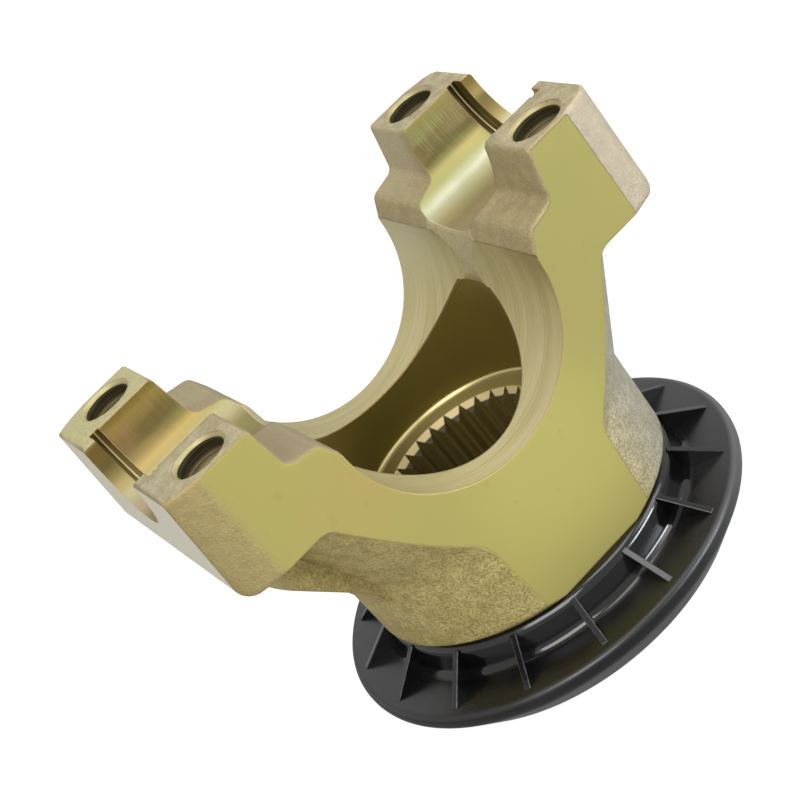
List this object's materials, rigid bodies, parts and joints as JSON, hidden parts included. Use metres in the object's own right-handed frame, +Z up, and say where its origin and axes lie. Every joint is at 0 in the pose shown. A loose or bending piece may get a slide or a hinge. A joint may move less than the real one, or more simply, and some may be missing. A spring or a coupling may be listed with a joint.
{
  "type": "universal joint end yoke",
  "caption": "Forged end yoke for a universal joint: half-round cap seats and tapped strap bosses on splayed ears, a splined hub bore and a ribbed dust shield.",
  "frame": {"origin": "on the hub axis, at the hub's lower end face, which the part stands on", "axes": "+Z up the hub axis towards the cap seats, +X along the axis of the bearing caps, from the ear with the forged lug to the other ear"},
  "size_m": [0.1009, 0.0866, 0.082],
  "materials": {
    "plated_steel": "yellow zinc plating, satin where machined and sandy where forged",
    "black_plastic": "moulded, glossy"
  },
  "bodies": {
    "root": {"forged_yoke": "plated_steel", "dust_shield": "black_plastic"}
  },
  "joints": []
}
